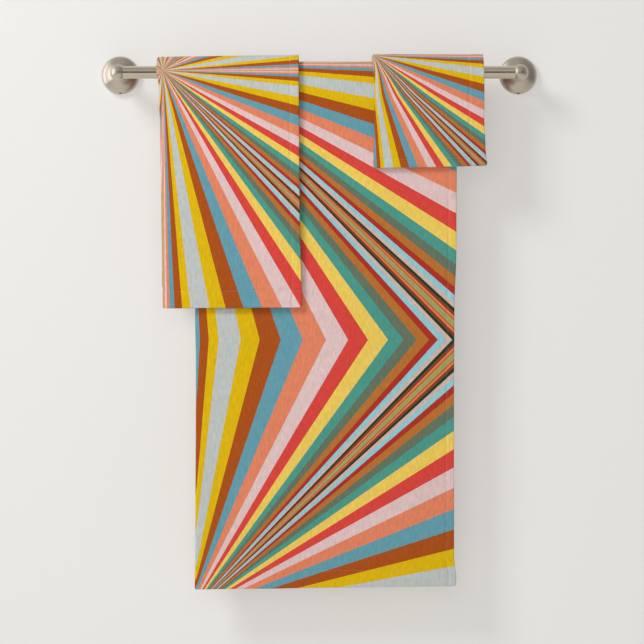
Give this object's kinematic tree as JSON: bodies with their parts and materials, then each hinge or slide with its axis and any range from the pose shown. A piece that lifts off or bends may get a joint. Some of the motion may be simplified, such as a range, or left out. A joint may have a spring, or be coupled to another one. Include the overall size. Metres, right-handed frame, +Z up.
{
  "type": "bath towel set on a wall rail",
  "caption": "Satin nickel wall rail with a bath towel, a hand towel and a washcloth, each folded once lengthwise and hung over the round bar; printed with radiating stripes.",
  "frame": {"origin": "on the wall, midway between the two posts and level with the tube's axis", "axes": "+Z up, +X along the tube to the right as seen from the front, -Y out of the wall towards the viewer"},
  "size_m": [0.648, 0.0892, 0.7881],
  "materials": {
    "satin_nickel": "satin",
    "zinc_plate": "matte",
    "screw_steel": "satin",
    "printed_terry": "matte",
    "terry_hem": "matte",
    "sewing_thread": "matte"
  },
  "bodies": {
    "wall_mounts": {"left_post": "satin_nickel", "left_wall_bracket": "zinc_plate", "left_set_screw": "screw_steel", "left_wall_screw_outer": "screw_steel", "left_wall_screw_inner": "screw_steel", "right_post": "satin_nickel", "right_wall_bracket": "zinc_plate", "right_set_screw": "screw_steel", "right_wall_screw_outer": "screw_steel", "right_wall_screw_inner": "screw_steel"},
    "bar": {"rail_tube": "satin_nickel"},
    "bath_towel": {"bath_towel_panel": "printed_terry", "bath_towel_front_hem": "terry_hem", "bath_towel_back_hem": "terry_hem", "bath_towel_outer_side_hem": "terry_hem", "bath_towel_inner_side_hem": "terry_hem", "bath_towel_side_stitching": "sewing_thread", "bath_towel_front_stitching": "sewing_thread", "bath_towel_back_stitching": "sewing_thread"},
    "hand_towel": {"hand_towel_panel": "printed_terry", "hand_towel_front_hem": "terry_hem", "hand_towel_back_hem": "terry_hem", "hand_towel_outer_side_hem": "terry_hem", "hand_towel_inner_side_hem": "terry_hem", "hand_towel_side_stitching": "sewing_thread", "hand_towel_front_stitching": "sewing_thread", "hand_towel_back_stitching": "sewing_thread"},
    "washcloth": {"washcloth_panel": "printed_terry", "washcloth_front_hem": "terry_hem", "washcloth_back_hem": "terry_hem", "washcloth_outer_side_hem": "terry_hem", "washcloth_inner_side_hem": "terry_hem", "washcloth_side_stitching": "sewing_thread", "washcloth_front_stitching": "sewing_thread", "washcloth_back_stitching": "sewing_thread"}
  },
  "joints": [
    {"name": "bar_spin", "type": "hinge", "parent": "wall_mounts", "child": "bar", "pos_m": [0, -0.065, 0], "axis": [1, 0, 0], "continuous": true},
    {"name": "bath_towel_slide", "type": "slide", "parent": "wall_mounts", "child": "bath_towel", "axis": [1, 0, 0], "range_m": [-0.095, 0.08]},
    {"name": "hand_towel_slide", "type": "slide", "parent": "wall_mounts", "child": "hand_towel", "axis": [1, 0, 0], "range_m": [-0.045, 0.045]},
    {"name": "washcloth_slide", "type": "slide", "parent": "wall_mounts", "child": "washcloth", "axis": [1, 0, 0], "range_m": [-0.045, 0.038]}
  ]
}
